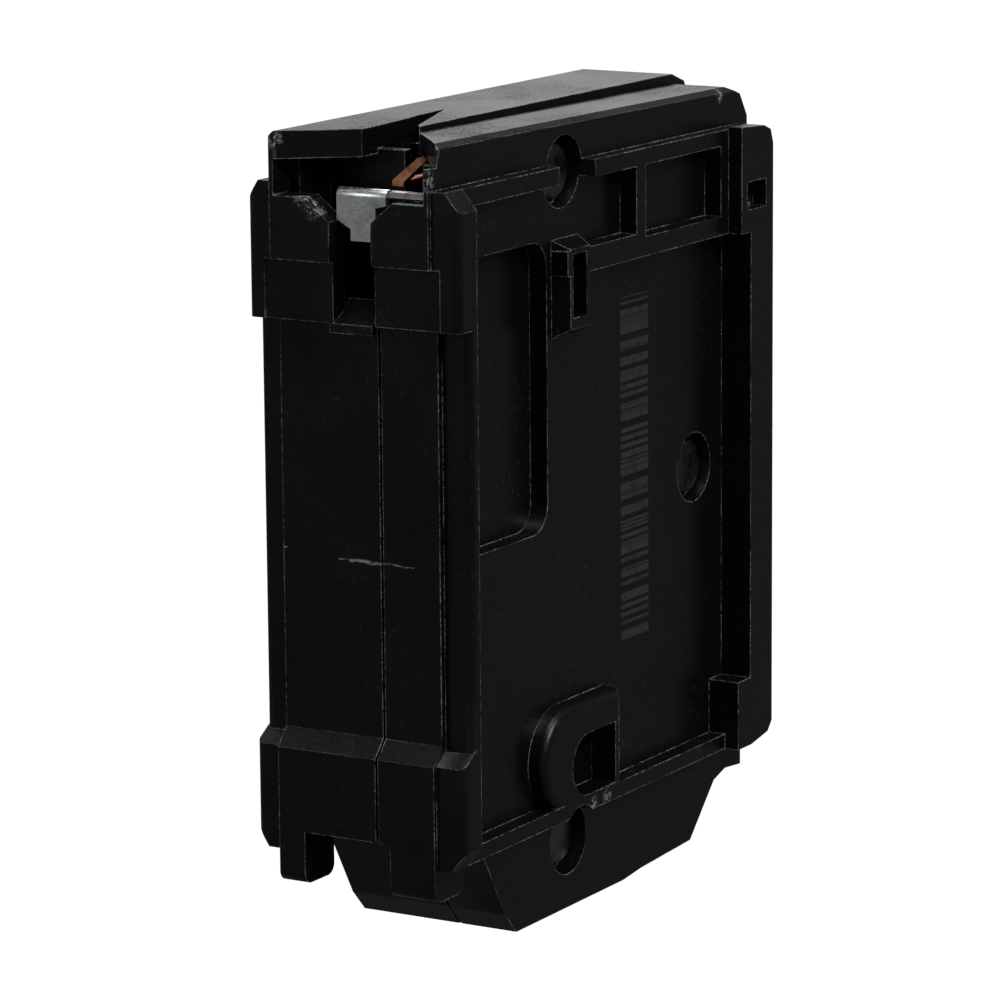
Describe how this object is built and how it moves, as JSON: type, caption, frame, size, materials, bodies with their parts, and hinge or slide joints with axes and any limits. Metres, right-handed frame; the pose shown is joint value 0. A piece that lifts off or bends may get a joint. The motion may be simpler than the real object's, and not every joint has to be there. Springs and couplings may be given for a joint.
{
  "type": "circuit breaker",
  "caption": "Plug-on single-pole circuit breaker: riveted black case, stab slot with jaw, rail feet, toggle handle and a screw terminal.",
  "frame": {"origin": "middle of the bounding box on the plane of the load-end foot, so the breaker stands on its load end", "axes": "+Z from the load end to the line end, -Y towards the handle, +Y towards the panel, +X from the cover half to the base half"},
  "size_m": [0.0254, 0.077, 0.0865],
  "materials": {
    "case": "moulded black thermoset, semi gloss with worn pale edges",
    "handle": "moulded black, satin",
    "rivet_steel": "plain steel, dull",
    "copper": "bare copper, slightly dulled",
    "silver": "silver alloy contact, matt",
    "tinned_copper": "tin plated copper, satin",
    "zinc_steel": "zinc plated steel, satin with a blue cast",
    "fibre": "red brown vulcanised fibre, matt",
    "spring_steel": "drawn spring wire",
    "bimetal": "rolled bimetal, satin",
    "screw_steel": "zinc chromate plated screw"
  },
  "bodies": {
    "case": {"base_case": "case", "cover_case": "case", "case_rivets": "rivet_steel", "fixed_contact": "silver", "line_terminal": "tinned_copper", "jaw_spring": "zinc_steel", "arc_runner": "copper", "arc_plates": "zinc_steel", "chute_board_cover": "fibre", "chute_board_base": "fibre", "arc_barrier": "fibre", "trip_lever_pin": "rivet_steel", "bimetal": "bimetal", "magnet_yoke": "zinc_steel", "armature_pin": "rivet_steel", "braid": "copper", "load_strap": "copper", "load_terminal": "tinned_copper", "calibration_screw": "screw_steel"},
    "handle": {"handle": "handle"},
    "arm": {"contact_arm": "copper", "moving_contact": "silver", "toggle_spring": "spring_steel"},
    "trip_lever": {"trip_lever": "zinc_steel"},
    "armature": {"armature": "zinc_steel"},
    "clamp": {"pressure_plate": "zinc_steel"},
    "screw": {"terminal_screw": "screw_steel"}
  },
  "joints": [
    {"name": "handle_turn", "type": "hinge", "parent": "case", "child": "handle", "pos_m": [0, -0.01863, 0.0435], "axis": [-1, 0, 0], "range_deg": [0, 30], "deforming": ["braid"]},
    {"name": "arm_swing", "type": "hinge", "parent": "handle", "child": "arm", "pos_m": [0, -0.00994, 0.04583], "axis": [-1, 0, 0], "range_deg": [-20, 0], "deforming": ["toggle_spring"]},
    {"name": "trip_lever_swing", "type": "hinge", "parent": "case", "child": "trip_lever", "pos_m": [0, 0.00047, 0.04], "axis": [-1, 0, 0], "range_deg": [0, 20]},
    {"name": "armature_swing", "type": "hinge", "parent": "case", "child": "armature", "pos_m": [0, 0.01906, 0.0205], "axis": [-1, 0, 0], "range_deg": [0, 4], "stiffness_Nm_per_rad": 0.004, "springref_deg": -11.46},
    {"name": "clamp_slide", "type": "slide", "parent": "case", "child": "clamp", "axis": [0, 1, 0], "range_m": [0, 0.0034]},
    {"name": "screw_turn", "type": "hinge", "parent": "clamp", "child": "screw", "pos_m": [0, -0.02153, 0.0165], "axis": [0, 1, 0], "range_deg": [0, 1530]}
  ],
  "couplings": [
    {"joint": "arm_swing", "follows": "handle_turn", "ratio": -0.66333},
    {"joint": "screw_turn", "follows": "clamp_slide", "rad_per_m": 7854}
  ]
}
